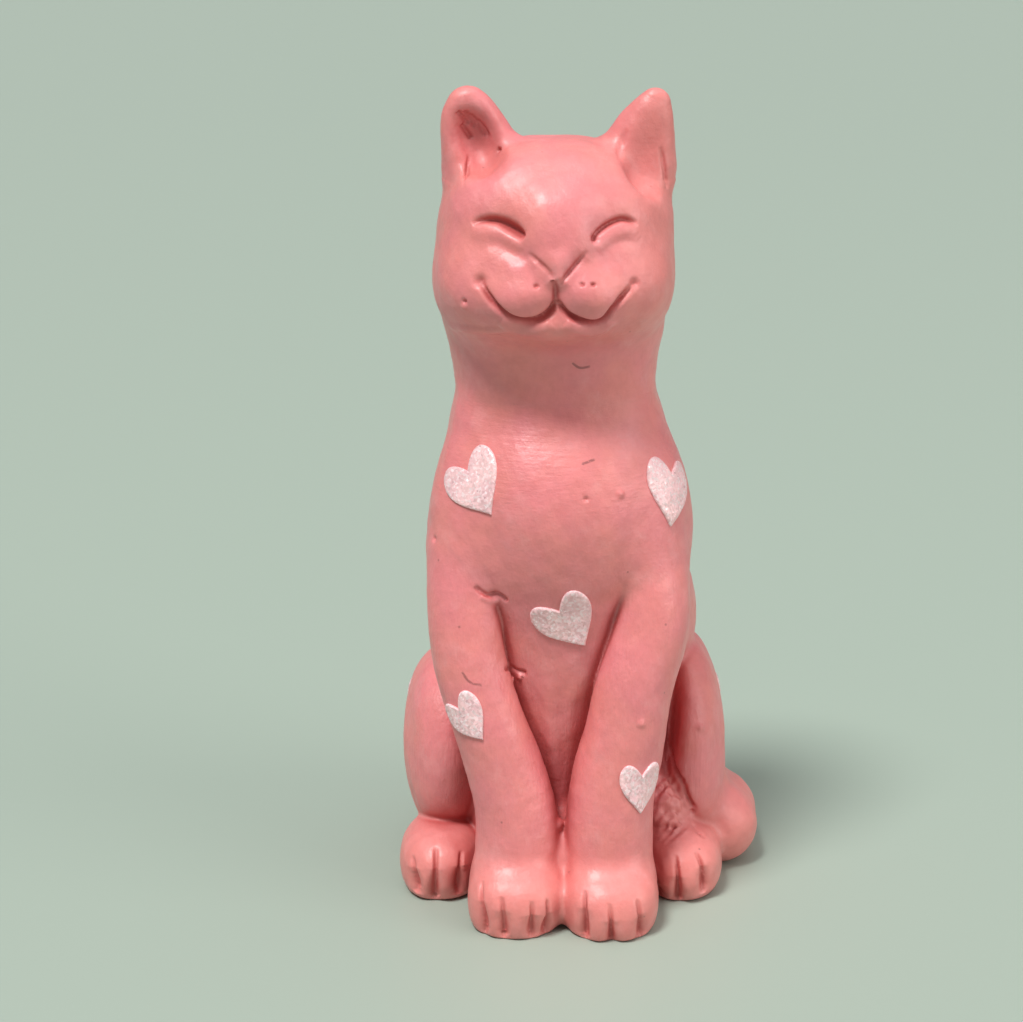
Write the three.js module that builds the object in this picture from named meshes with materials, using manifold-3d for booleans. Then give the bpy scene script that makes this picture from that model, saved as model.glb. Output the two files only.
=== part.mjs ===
// A seated cat figure, 90 mm tall, put together from separately formed pieces.
// The trunk is the core. The head sits on a stub at the top of the neck, and the ears, forelegs, haunches, paws and
// tail each sit in a hollow of their own. White hearts are stuck on the finished skin.
// Millimetres, +Z up. The cat faces -Y, so its own left side is +X.

import * as THREE from "three";
import { mergeVertices } from "three/addons/utils/BufferGeometryUtils.js";
import Module from "manifold-3d";

const wasm = await Module();
wasm.setup();

// ---------------------------------------------------------------- driving dimensions
const HEIGHT = 90; // table to ear tips
const NECK_JOINT = 57; // height of the plane where the head meets the trunk
const SKULL_TOP = 84.2; // top of the head between the ears
const SEAM = 0.3; // bond line left between two neighbouring pieces
const HEART_THICKNESS = 0.4;

const STUB_RADIUS = 5.5; // the neck stub that locates the head
const STUB_LENGTH = 5;

const RING = 24; // facets round the trunk and the head
const LIMB_RING = 16; // facets round a limb, a paw or an ear
const SQUARENESS = 2.3; // of every cross-section: 2 is an ellipse, and more is boxier

// The sitting cat leans a little on its left side, so that haunch and hind paw spread further.
const SPREAD = { left: 1.5, right: 0 };
const SIDES = { left: 1, right: -1 };

const PINK = { color: 0xe68c88, roughness: 0.45, metalness: 0 };
const GLITTER = { color: 0xece4e6, roughness: 0.3, metalness: 0 };

// Cross-sections from the bottom up: height, middle in x, half width, front, back.
const TRUNK = {
  sections: [
    [0, 0.3, 13, -8.5, 23.2],
    [6, 0.5, 14.2, -9, 24],
    [14, 0.8, 14.8, -9.8, 23],
    [24, 1.2, 15, -11, 19.8],
    [32, 0.9, 14.9, -12.2, 16.4],
    [40, 0.3, 14.6, -13.8, 13.6],
    [46, 0.3, 14, -13.8, 11.6],
    [52, 0.1, 12.7, -12.2, 9.8],
    [57, -0.2, 11.4, -10.8, 9.2],
  ],
  dome: 0,
  levels: 11,
};
const HEAD = {
  sections: [
    [57, -0.2, 11.4, -10.8, 9.2],
    [61, -0.3, 11.7, -11, 9.6],
    [65, -0.3, 12.4, -13.2, 10],
    [69, -0.4, 13, -15, 10.2],
    [74, -0.3, 12.6, -14.6, 10.2],
    [79, -0.2, 12.3, -13, 9.6],
    [84.2, -0.1, 12.2, -10.4, 8.4],
  ],
  dome: 6,
  levels: 7,
};
const EAR = {
  sections: [
    [76, 8.1, 4.1, -8, 0.5],
    [81, 8.2, 4.1, -8, 0.5],
    [85, 8.8, 3.5, -7, 0],
    [90, 9.9, 2.2, -5.4, -1.6],
  ],
  dome: 3,
  levels: 4,
};
const FORELEG = {
  sections: [
    [4, 5.1, 4.5, -16.8, -8],
    [13, 5.3, 4.7, -16.4, -7],
    [24, 7.8, 4.4, -15.6, -5.5],
    [32, 9.5, 4.8, -14.8, -3],
    [38, 10.1, 4.8, -13.6, -0.5],
    [45, 9.6, 4.6, -11.4, 0],
  ],
  dome: 6,
  levels: 6,
};
const FOREPAW = {
  sections: [
    [0, 5.3, 4.7, -19.8, -8.6],
    [2, 5.4, 5.1, -20.9, -8],
    [4.6, 5.3, 4.8, -19.4, -8],
    [7.1, 5.2, 4.3, -16.8, -8],
  ],
  dome: 3.4,
  levels: 3,
};
const HIND_PAW = {
  sections: [
    [0, 12.7, 4.4, -11.4, 1],
    [2, 12.8, 4.7, -12, 2],
    [4.8, 12.8, 4.4, -10.6, 2],
    [7.4, 12.6, 3.8, -8, 2],
  ],
  dome: 3.6,
  levels: 3,
};

// Rounded lumps on the left side: centre, radii, and lean about the front-to-back axis.
const HAUNCH = { centre: [11.4, 4.6, 13.6], radii: [6.6, 11.6, 11.8], lean: 0 };
const MUZZLE_PAD = { centre: [3.4, -12.2, 69.2], radii: [4.2, 4.8, 3.7], lean: 0 };
const NOSE = { centre: [-0.2, -12.4, 71.9], radii: [2.2, 4.2, 1.5], lean: 0 };
const CHIN = { centre: [-0.3, -11, 65.8], radii: [4.6, 4.4, 2.6], lean: 0 };
const EAR_CUP = { centre: [8.5, -9.4, 83.2], radii: [2.7, 4.2, 4.6], lean: 0.1 };

const TAIL_RADIUS = 4.4;
const TAIL_PATH = [
  [1, 15.5, 5.2],
  [9.5, 18.6, 4.8],
  [16.6, 14.8, 4.6],
  [19.6, 8, 4.5],
  [19.3, 1.6, 4.4],
];

// Three notches part the four toes of a paw. Their places are shares of its half width.
const TOE_NOTCHES = { shares: [-0.52, 0, 0.52], width: 0.8, depth: 1.5, bottom: 0.7, top: 5 };

// Lines carved round the face on the left side, as x and z. The right side mirrors them.
const CARVING_RADIUS = 0.55;
const EYE_LINE = [
  [3.1, 75.6],
  [4.4, 76.9],
  [6.2, 77.7],
  [8, 77.2],
];
const MOUTH_LINE = [
  [0.6, 67.4],
  [2, 65.5],
  [4.6, 65.2],
  [6.8, 66.8],
  [8.2, 69.4],
];

// Each heart: a point on the skin, the outward direction there, its width, and its turn in its own plane.
const HEARTS = {
  right_shoulder_heart: { at: [-8.6, -11, 48.1], out: [-0.54, -0.81, 0.23], width: 6.6, turn: 0.72 },
  left_shoulder_heart: { at: [11.5, -9.8, 46.9], out: [0.62, -0.74, 0.26], width: 6.4, turn: -0.26 },
  chest_heart: { at: [1.4, -12, 33.3], out: [0.03, -0.98, -0.19], width: 6.4, turn: 0.58 },
  right_foreleg_heart: { at: [-9.8, -14.3, 23.6], out: [-0.56, -0.83, 0.01], width: 4.8, turn: 0.82 },
  left_foreleg_heart: { at: [9.1, -14.8, 15.1], out: [0.72, -0.7, -0.04], width: 4.8, turn: 0 },
  upper_back_heart: { at: [-4, 12.4, 45], out: [-0.25, 0.95, 0.2], width: 6.2, turn: -0.3 },
  lower_back_heart: { at: [3.2, 17.8, 27], out: [0.1, 0.9, 0.35], width: 6.6, turn: 0.4 },
  right_haunch_heart: { at: [-16.8, 10, 17.5], out: [-0.93, 0.3, 0.21], width: 5.6, turn: -0.3 },
  left_haunch_heart: { at: [18.3, 10.5, 17.5], out: [0.93, 0.3, 0.21], width: 5.6, turn: 0.3 },
};

// ---------------------------------------------------------------- solids from three.js geometry
function solidOf(geometry) {
  const bare = geometry.clone();
  bare.deleteAttribute("normal");
  bare.deleteAttribute("uv");
  const merged = mergeVertices(bare, 1e-4);
  const mesh = new wasm.Mesh({
    numProp: 3,
    vertProperties: new Float32Array(merged.attributes.position.array),
    triVerts: new Uint32Array(merged.index.array),
  });
  return new wasm.Manifold(mesh);
}

function geometryOf(solid) {
  const { vertProperties, triVerts } = solid.getMesh();
  const geometry = new THREE.BufferGeometry();
  geometry.setAttribute("position", new THREE.BufferAttribute(vertProperties, 3));
  geometry.setIndex(new THREE.BufferAttribute(triVerts, 1));
  geometry.computeVertexNormals();
  return geometry;
}

const join = (solids) => solids.reduce((all, one) => all.add(one));
const cut = (solid, tools) => tools.reduce((left, tool) => left.subtract(tool), solid);

// The biggest body of a solid, so that no crumb cut off by a neighbour stays with it.
function biggest(solid) {
  return solid.decompose().reduce((most, body) => (body.volume() > most.volume() ? body : most));
}

function block(low, high) {
  const size = high.map((value, axis) => value - low[axis]);
  const centre = low.map((value, axis) => value + size[axis] / 2);
  return solidOf(new THREE.BoxGeometry(...size).translate(...centre));
}

const REACH = 60; // further out than any piece
const aboveTable = block([-REACH, -REACH, 0], [REACH, REACH, 2 * REACH]);
const belowNeckJoint = block([-REACH, -REACH, 0], [REACH, REACH, NECK_JOINT + SEAM]);
const ownHalf = {
  left: block([SEAM / 2, -REACH, -REACH], [REACH, REACH, 2 * REACH]),
  right: block([-REACH, -REACH, -REACH], [-SEAM / 2, REACH, 2 * REACH]),
};

// ---------------------------------------------------------------- basic forms, each grown by a margin
function sectionAt(sections, height) {
  const heights = sections.map((row) => row[0]);
  const values = sections.flatMap((row) => row.slice(1));
  const curve = new THREE.CubicInterpolant(heights, values, 4);
  const inRange = THREE.MathUtils.clamp(height, heights[0], heights[heights.length - 1]);
  const [middle, halfWidth, front, back] = curve.evaluate(inRange);
  return { middle, halfWidth, centre: (front + back) / 2, halfDepth: (back - front) / 2 };
}

// How far forward the skin of a sectioned form lies at a place seen from the front.
function frontOf({ sections }, x, z) {
  const { middle, halfWidth, centre, halfDepth } = sectionAt(sections, z);
  const share = Math.min(Math.abs(x - middle) / halfWidth, 1);
  return centre - halfDepth * (1 - share ** SQUARENESS) ** (1 / SQUARENESS);
}

// A lathe profile of unit radius, straight from low to high but for a quarter-round top.
function unitProfile(low, high, { dome, levels }) {
  const domeSteps = 4;
  const points = [new THREE.Vector2(0, low)];
  for (let i = 0; i <= levels; i += 1) {
    points.push(new THREE.Vector2(1, low + ((high - dome - low) * i) / levels));
  }
  for (let i = 1; dome > 0 && i < domeSteps; i += 1) {
    const angle = ((i / domeSteps) * Math.PI) / 2;
    points.push(new THREE.Vector2(Math.cos(angle), high - dome + dome * Math.sin(angle)));
  }
  points.push(new THREE.Vector2(0, high));
  return points;
}

// A form with its own cross-section at each height. It grows sideways, and by the given margins below and above.
function sectioned(form, ring, side, shift, grow, below = grow, above = grow) {
  const { sections } = form;
  const low = sections[0][0] - below;
  const high = sections[sections.length - 1][0] + above;
  const lathe = new THREE.LatheGeometry(unitProfile(low, high, form), ring);
  const place = lathe.attributes.position;
  const reach = (share) => Math.sign(share) * Math.abs(share) ** (2 / SQUARENESS);
  for (let i = 0; i < place.count; i += 1) {
    const z = place.getY(i);
    const radius = Math.hypot(place.getX(i), place.getZ(i));
    const angle = Math.atan2(place.getZ(i), place.getX(i));
    const { middle, halfWidth, centre, halfDepth } = sectionAt(sections, z);
    const x = middle + shift + radius * (halfWidth + grow) * reach(Math.cos(angle));
    const y = centre - radius * (halfDepth + grow) * reach(Math.sin(angle));
    place.setXYZ(i, x, y, z);
  }
  const solid = solidOf(lathe);
  return side > 0 ? solid : solid.mirror([1, 0, 0]);
}

function lump({ centre, radii, lean }, side, shift, grow) {
  const ball = new THREE.SphereGeometry(1, LIMB_RING, LIMB_RING / 2 + 2);
  ball.scale(...radii.map((radius) => radius + grow));
  ball.rotateY(side * lean);
  return solidOf(ball.translate(side * (centre[0] + shift), centre[1], centre[2]));
}

function rod(points, radius, sides, steps) {
  const path = new THREE.CatmullRomCurve3(points.map((point) => new THREE.Vector3(...point)));
  const circle = new THREE.Shape().absarc(0, 0, radius, 0, 2 * Math.PI);
  const options = { extrudePath: path, steps, curveSegments: sides, bevelEnabled: false };
  return solidOf(new THREE.ExtrudeGeometry(circle, options));
}

// ---------------------------------------------------------------- the whole shape of each piece, uncut
const trunk = (grow) => sectioned(TRUNK, RING, 1, 0, grow, grow, 0);
const head = (grow) => sectioned(HEAD, RING, 1, 0, grow, 0, grow);
const ear = (name, grow) => sectioned(EAR, LIMB_RING, SIDES[name], 0, grow);
const foreleg = (name, grow) => sectioned(FORELEG, LIMB_RING, SIDES[name], 0, grow);
const forepaw = (name, grow) => sectioned(FOREPAW, LIMB_RING, SIDES[name], 0, grow);
const hindPaw = (name, grow) => sectioned(HIND_PAW, LIMB_RING, SIDES[name], SPREAD[name], grow);
const haunch = (name, grow) => lump(HAUNCH, SIDES[name], SPREAD[name], grow);

function tail(grow) {
  const radius = TAIL_RADIUS + grow;
  const ball = new THREE.SphereGeometry(radius, LIMB_RING, LIMB_RING / 2);
  const tip = solidOf(ball.translate(...TAIL_PATH[TAIL_PATH.length - 1]));
  return rod(TAIL_PATH, radius, LIMB_RING, 10).add(tip);
}

// ---------------------------------------------------------------- details cut into the pieces
// Wedges down the front of a paw.
function toeNotches(form, name, shift) {
  const { shares, width, depth, bottom, top } = TOE_NOTCHES;
  const outline = new THREE.Shape();
  outline.moveTo(-width / 2, -1);
  outline.lineTo(width / 2, -1);
  outline.lineTo(0, depth);
  return shares.map((share) => {
    const { middle, halfWidth } = sectionAt(form.sections, bottom);
    const x = middle + share * halfWidth;
    const front = frontOf(form, x, 2);
    const wedge = new THREE.ExtrudeGeometry(outline, { depth: top - bottom, bevelEnabled: false });
    return solidOf(wedge.translate(SIDES[name] * (x + shift), front, bottom));
  });
}

// Grooves for the closed eyes, and under the muzzle for the smile.
function faceCarvings() {
  const onFace = ([x, z], lift) => [x, frontOf(HEAD, x, z) - lift, z];
  return Object.values(SIDES).flatMap((side) => {
    const eye = EYE_LINE.map(([x, z]) => onFace([side * x, z], 0));
    const mouth = MOUTH_LINE.map(([x, z]) => onFace([side * x, z], 0.2));
    return [eye, mouth].map((points) => rod(points, CARVING_RADIUS, 6, 6));
  });
}

function neckStub(grow) {
  const bottom = NECK_JOINT - 2;
  const length = STUB_LENGTH + 2 + grow;
  const stub = new THREE.CylinderGeometry(STUB_RADIUS + grow, STUB_RADIUS + grow, length, LIMB_RING);
  return solidOf(stub.rotateX(Math.PI / 2).translate(0, -1, bottom + length / 2));
}

// ---------------------------------------------------------------- hearts
function heartOutline(width) {
  const half = width / 2;
  const heart = new THREE.Shape();
  heart.moveTo(0, -half * 1.3);
  heart.bezierCurveTo(half * 0.7, -half * 0.6, half * 1.2, half * 0.2, half, half * 0.7);
  heart.bezierCurveTo(half * 0.75, half * 1.2, half * 0.1, half * 1.1, 0, half * 0.55);
  heart.bezierCurveTo(-half * 0.1, half * 1.1, -half * 0.75, half * 1.2, -half, half * 0.7);
  heart.bezierCurveTo(-half * 1.2, half * 0.2, -half * 0.7, -half * 0.6, 0, -half * 1.3);
  return heart;
}

// Everything that a heart can be stuck on, as one skin with a margin round it.
function skin(grow) {
  const limbs = Object.keys(SIDES).flatMap((name) => [foreleg(name, grow), haunch(name, grow)]);
  return join([trunk(grow), ...limbs]);
}

// The part of a thin layer just off the skin that lies inside the heart's outline.
function heart({ at, out, width, turn }, layer) {
  const reach = 3;
  const options = { depth: 2 * reach, curveSegments: 4, bevelEnabled: false };
  const prism = new THREE.ExtrudeGeometry(heartOutline(width), options);
  prism.translate(0, 0, -reach).rotateZ(turn);
  const facing = new THREE.Matrix4();
  const outward = new THREE.Vector3(...out).normalize();
  facing.lookAt(outward, new THREE.Vector3(), new THREE.Vector3(0, 0, 1)).setPosition(...at);
  return biggest(layer.intersect(solidOf(prism.applyMatrix4(facing))));
}

// ---------------------------------------------------------------- pieces, cut to sit against each other
const pieces = {};

for (const name of Object.keys(SIDES)) {
  const paw = forepaw(name, 0).intersect(ownHalf[name]);
  pieces[`${name}_forepaw`] = cut(paw, toeNotches(FOREPAW, name, 0));
  pieces[`${name}_foreleg`] = cut(foreleg(name, 0).intersect(ownHalf[name]), [forepaw(name, SEAM)]);

  const inFront = [forepaw(name, SEAM), foreleg(name, SEAM)];
  const toes = toeNotches(HIND_PAW, name, SPREAD[name]);
  pieces[`${name}_hind_paw`] = cut(hindPaw(name, 0), [...inFront, ...toes]);
  pieces[`${name}_haunch`] = cut(haunch(name, 0), [...inFront, hindPaw(name, SEAM)]);

  pieces[`${name}_ear`] = cut(ear(name, 0), [lump(EAR_CUP, SIDES[name], 0, 0)]);
}

pieces.tail = cut(tail(0), [haunch("left", SEAM), hindPaw("left", SEAM)]);

const inTrunk = [foreleg, forepaw, haunch, hindPaw];
const limbHollows = Object.keys(SIDES).flatMap((name) => inTrunk.map((form) => form(name, SEAM)));
pieces.trunk = cut(trunk(0), [...limbHollows, tail(SEAM)]).add(neckStub(0));

const pads = Object.values(SIDES).map((side) => lump(MUZZLE_PAD, side, 0, 0));
const face = join([head(0), ...pads, lump(NOSE, 1, 0, 0), lump(CHIN, 1, 0, 0)]);
const earHollows = Object.keys(SIDES).map((name) => ear(name, SEAM));
pieces.head = cut(face, [neckStub(SEAM), belowNeckJoint, ...earHollows, ...faceCarvings()]);

const heartLayer = skin(SEAM + HEART_THICKNESS).subtract(skin(SEAM));
for (const [name, place] of Object.entries(HEARTS)) {
  pieces[name] = heart(place, heartLayer);
}

// ---------------------------------------------------------------- the figure
const pink = new THREE.MeshStandardMaterial(PINK);
const glitter = new THREE.MeshStandardMaterial(GLITTER);

const figure = new THREE.Group();
for (const [name, solid] of Object.entries(pieces)) {
  const geometry = geometryOf(biggest(solid.intersect(aboveTable)));
  const mesh = new THREE.Mesh(geometry, name.endsWith("_heart") ? glitter : pink);
  mesh.name = name;
  figure.add(mesh);
}

// The origin is the middle of the footprint's bounding box, on the table.
const bounds = new THREE.Box3().setFromObject(figure);
const middle = bounds.getCenter(new THREE.Vector3());
figure.position.set(-middle.x, -middle.y, -bounds.min.z);

export default figure;
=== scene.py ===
"""A small pink cat figurine, sculpted as one distance field and split into its pieces.

All the sculpting is in millimetres in the cat's own frame: x is its left, y its back and z up, with the
table at 0.
"""

import math
from concurrent.futures import ThreadPoolExecutor

import bpy
import numpy as np
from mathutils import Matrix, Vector


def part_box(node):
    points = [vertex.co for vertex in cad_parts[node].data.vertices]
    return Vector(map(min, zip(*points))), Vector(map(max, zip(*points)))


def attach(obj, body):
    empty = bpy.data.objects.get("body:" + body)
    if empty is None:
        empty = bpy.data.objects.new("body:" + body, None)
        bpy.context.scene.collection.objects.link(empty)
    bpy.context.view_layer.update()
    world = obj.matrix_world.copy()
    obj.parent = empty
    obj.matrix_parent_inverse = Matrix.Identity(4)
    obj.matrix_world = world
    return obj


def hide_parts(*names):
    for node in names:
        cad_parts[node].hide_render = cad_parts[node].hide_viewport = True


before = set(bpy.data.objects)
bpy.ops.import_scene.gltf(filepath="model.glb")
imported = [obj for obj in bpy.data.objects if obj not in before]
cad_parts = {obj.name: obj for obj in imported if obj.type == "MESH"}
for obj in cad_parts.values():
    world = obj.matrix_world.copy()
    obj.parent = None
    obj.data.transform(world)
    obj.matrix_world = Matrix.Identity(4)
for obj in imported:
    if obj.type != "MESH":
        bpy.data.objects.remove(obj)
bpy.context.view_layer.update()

MM = 0.001
FAR = 9.0  # stands for "nowhere near" in a distance field, in millimetres

VOXEL = 0.22  # width of a grid cell, in millimetres
COARSE = 5  # voxels along one side of a coarse block
rng = np.random.default_rng(7)


# ---------------------------------------------------------------- distance fields
def length(vectors):
    return np.sqrt(np.einsum("ij,ij->i", vectors, vectors))


def turn_matrix(degrees):
    """Rotation about x, then y, then z."""
    ax, ay, az = (math.radians(value) for value in degrees)
    about_x = np.array([[1, 0, 0], [0, math.cos(ax), -math.sin(ax)], [0, math.sin(ax), math.cos(ax)]])
    about_y = np.array([[math.cos(ay), 0, math.sin(ay)], [0, 1, 0], [-math.sin(ay), 0, math.cos(ay)]])
    about_z = np.array([[math.cos(az), -math.sin(az), 0], [math.sin(az), math.cos(az), 0], [0, 0, 1]])
    return about_z @ about_y @ about_x


def near_box(points, low, high, distance):
    """Runs distance on the points close to a box only. The rest are far."""
    close = np.all((points > low) & (points < high), axis=1)
    result = np.full(len(points), FAR)
    if close.any():
        result[close] = distance(points[close])
    return result


class Ellipsoid:
    """power 2 is a true ellipsoid, and more is boxier."""

    def __init__(self, centre, radii, turn=(0, 0, 0), power=2.0):
        self.centre = np.array(centre, float)
        self.radii = np.array(radii, float)
        self.axes = turn_matrix(turn)
        self.power = power
        reach = np.sqrt((self.axes**2) @ (self.radii**2)) + 3.5
        self.low = self.centre - reach
        self.high = self.centre + reach

    def __call__(self, points):
        return near_box(points, self.low, self.high, self.distance)

    def distance(self, points):
        local = (points - self.centre) @ self.axes
        scaled = np.abs(local) / self.radii
        if self.power == 2.0:
            size = length(scaled)
            slope = length(scaled / self.radii)
            return size * (size - 1) / np.maximum(slope, 1e-6)
        raised = scaled**self.power
        size = np.maximum(raised.sum(axis=1), 1e-9) ** (1 / self.power)
        slope = length(raised / np.maximum(scaled, 1e-6) / self.radii) * size ** (1 - self.power)
        return (size - 1) / np.maximum(slope, 1e-3)


def smooth_path(points, steps):
    """A Catmull-Rom curve through rows of numbers, with the given steps between neighbours."""
    rows = np.array(points, float)
    padded = np.vstack([2 * rows[0] - rows[1], rows, 2 * rows[-1] - rows[-2]])
    share = np.linspace(0, 1, steps, endpoint=False)[:, None]
    out = []
    for before, start, end, after in zip(padded, padded[1:], padded[2:], padded[3:]):
        cubic = 3 * start - before - 3 * end + after
        bend = share * (2 * before - 5 * start + 4 * end - after + share * cubic)
        out.append(start + 0.5 * share * (end - before + bend))
    return np.vstack([*out, rows[-1:]])


class Limb:
    """A round tube through x, y, z, radius rows. stretch makes it deeper (y) than it is wide."""

    def __init__(self, joints, steps=4, stretch=1.0):
        rows = smooth_path(joints, steps)
        self.scale = np.array([1, 1 / stretch, 1])
        self.places = rows[:, :3] * self.scale
        self.sizes = rows[:, 3]
        reach = self.sizes.max() * max(stretch, 1) + 3.5
        self.low = rows[:, :3].min(axis=0) - reach
        self.high = rows[:, :3].max(axis=0) + reach

    def __call__(self, points):
        return near_box(points, self.low, self.high, self.distance)

    def distance(self, points):
        local = points * self.scale
        best = np.full(len(points), FAR)
        for start, end, thick, thin in zip(self.places, self.places[1:], self.sizes, self.sizes[1:]):
            along = end - start
            offset = local - start
            share = np.clip(offset @ along / (along @ along), 0, 1)
            gap = length(offset - share[:, None] * along) - (thick + share * (thin - thick))
            best = np.minimum(best, gap)
        return best


class Loft:
    """An upright form from rows of height, middle in x, half width, front and back."""

    def __init__(self, rows, power):
        table = smooth_path(rows, 12)
        self.heights = table[:, 0]
        self.columns = table[:, 1:].T
        self.power = power

    def __call__(self, points):
        middle, half_width, front, back = (
            np.interp(points[:, 2], self.heights, column) for column in self.columns
        )
        half_depth = (back - front) / 2
        across = points[:, 0] - middle
        along = points[:, 1] - (front + back) / 2
        share_x = np.abs(across) / half_width
        share_y = np.abs(along) / half_depth
        size = (share_x**self.power + share_y**self.power + 1e-12) ** (1 / self.power)
        slope_x = (share_x / size) ** (self.power - 1) / half_width
        slope_y = (share_y / size) ** (self.power - 1) / half_depth
        return (size - 1) / np.maximum(np.hypot(slope_x, slope_y), 1e-3)


def blend(first, second, width):
    """Smooth union: the two forms flow together over about width."""
    overlap = np.maximum(width - np.abs(first - second), 0) / width
    return np.minimum(first, second) - overlap**2 * width / 4


def clip(first, second, width):
    """Smooth intersection."""
    return -blend(-first, -second, width)


class Ripples:
    """Gentle random waves. They make a surface look worked by hand."""

    def __init__(self, count, shortest, longest, height):
        directions = rng.normal(size=(count, 3))
        directions /= length(directions)[:, None]
        lengths = rng.uniform(shortest, longest, count)
        self.waves = 2 * math.pi * (directions / lengths[:, None]).T
        self.phases = rng.uniform(0, 2 * math.pi, count)
        self.height = height / math.sqrt(count)

    def __call__(self, points):
        return self.height * np.sin(points @ self.waves + self.phases).sum(axis=1)


# ---------------------------------------------------------------- the cat's forms
SIDES = {"left": 1, "right": -1}


def both(make):
    """The same form on the cat's left (x > 0) and right."""
    return {name: make(side) for name, side in SIDES.items()}


NECK_JOINT = 57.0

core = Loft(
    [
        (0, 0.3, 13.0, -7.5, 23.0),
        (6, 0.5, 13.8, -8.0, 23.8),
        (13, 0.6, 13.0, -9.0, 23.0),
        (20, 0.8, 12.6, -10.0, 21.0),
        (28, 1.0, 13.4, -11.2, 18.2),
        (36, 0.6, 13.4, -12.2, 15.2),
        (44, 0.3, 12.9, -13.0, 12.4),
        (50, 0.2, 12.5, -12.1, 10.4),
        (54, 0.1, 11.9, -10.5, 9.2),
        (57.5, -0.1, 11.1, -9.5, 8.6),
        (61, -0.3, 11.4, -9.8, 8.9),
        (64, -0.4, 11.9, -11.2, 9.4),
        (67, -0.6, 12.2, -12.8, 9.8),
        (70.7, -0.6, 12.3, -13.6, 10.0),
        (74, -0.45, 12.0, -13.6, 9.8),
        (78, -0.35, 11.6, -12.4, 9.0),
        (84, -0.2, 11.0, -10.0, 7.0),
    ],
    power=2.35,
)
skull = Ellipsoid((-0.35, -2.4, 73.6), (12.3, 11.6, 11.0), power=2.5)
cheek = both(lambda side: Ellipsoid((side * 6.8 - 0.5, -7.6, 69.6), (5.0, 6.8, 5.0)))
muzzle_pad = both(lambda side: Ellipsoid((side * 3.3 - 0.4, -12.4, 69.6), (4.1, 4.3, 3.1), (6, side * 12, 0)))
bridge = Ellipsoid((-0.35, -12.3, 75.0), (3.6, 3.1, 4.8), (-16, 0, 0), power=2.4)
nose_tip = Ellipsoid((-0.5, -14.7, 72.3), (1.9, 1.6, 1.6))
chin = Ellipsoid((-0.4, -10.6, 66.5), (6.0, 4.9, 2.5))

chest = Ellipsoid((0.3, -3.6, 43.8), (11.5, 10.9, 12.0))
shoulder = both(lambda side: Ellipsoid((side * 9.3 + 0.3, -3.6, 40.5), (5.0, 7.4, 11.0), (0, side * 4, 0)))
flank = Ellipsoid((11.2, 6.0, 29.4), (5.3, 8.0, 8.4))
# fills the gap between the ankles
web = Ellipsoid((0.6, -10.0, 4.5), (2.2, 5.2, 6.0))

ear = {
    "left": Limb(
        [(7.9, -3.0, 81.5, 4.5), (8.7, -3.4, 84.2, 3.5), (9.45, -3.8, 86.5, 2.5), (10.0, -4.0, 88.0, 1.7)],
        steps=10,
        stretch=0.72,
    ),
    "right": Limb(
        [(-7.9, -3.0, 81.5, 4.7), (-8.7, -3.4, 84.2, 3.9), (-9.3, -3.8, 86.4, 3.1), (-9.6, -4.0, 87.7, 2.3)],
        steps=10,
        stretch=0.72,
    ),
}
ear_cup = {
    "left": Ellipsoid((9.3, -8.1, 83.6), (2.6, 2.8, 4.7), (0, 12, 0)),
    "right": Ellipsoid((-8.9, -8.0, 84.6), (2.6, 4.2, 4.0), (0, -22, 0)),
}

foreleg = {
    "left": Limb(
        [
            (9.8, -6.4, 40.0, 4.7),
            (9.8, -9.0, 32.5, 4.6),
            (8.3, -10.8, 25.5, 4.4),
            (6.6, -11.6, 17.0, 4.6),
            (5.8, -12.0, 11.0, 4.9),
            (5.6, -12.4, 6.0, 5.0),
        ]
    ),
    "right": Limb(
        [
            (-9.5, -6.4, 40.0, 4.7),
            (-9.8, -9.0, 32.0, 4.3),
            (-8.5, -10.8, 25.0, 4.0),
            (-5.9, -11.6, 17.0, 4.2),
            (-4.4, -12.0, 11.0, 4.6),
            (-4.3, -12.4, 6.0, 4.8),
        ]
    ),
}
forepaw = {
    "left": Ellipsoid((5.85, -14.4, 2.5), (5.45, 6.7, 4.8), power=2.35),
    "right": Ellipsoid((-4.55, -14.2, 2.6), (5.35, 6.5, 4.7), power=2.35),
}
hind_paw = {
    "left": Ellipsoid((13.9, -4.8, 2.9), (5.0, 7.0, 4.5), (0, 0, 10), power=2.3),
    "right": Ellipsoid((-12.9, -4.4, 2.8), (4.9, 7.2, 4.6), (0, 0, -4), power=2.3),
}
hock = Ellipsoid((12.2, -2.6, 7.4), (3.8, 4.6, 6.6), (0, -14, 0))
haunch = {
    "left": Ellipsoid((15.4, 5.6, 13.8), (4.8, 11.4, 12.8), (0, -3, 0), power=2.2),
    "right": Ellipsoid((-12.3, 3.8, 14.4), (5.4, 10.8, 11.0), (0, 1, 0), power=2.15),
}
# the hollow between the left foreleg and the left haunch
haunch_gap = Ellipsoid((13.3, -4.8, 20.5), (0.95, 3.7, 7.8), (0, 4, 0))
tail = Limb(
    [
        (3.0, 17.6, 4.8, 4.4),
        (10.0, 19.2, 4.6, 4.4),
        (16.0, 14.2, 3.8, 3.8),
        (19.7, 8.0, 3.8, 4.4),
        (19.3, 1.6, 4.4, 4.7),
    ]
)

PIECES = [
    "trunk",
    "head",
    "left_ear",
    "right_ear",
    "left_foreleg",
    "right_foreleg",
    "left_forepaw",
    "right_forepaw",
    "left_haunch",
    "right_haunch",
    "left_hind_paw",
    "right_hind_paw",
    "tail",
]


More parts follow.
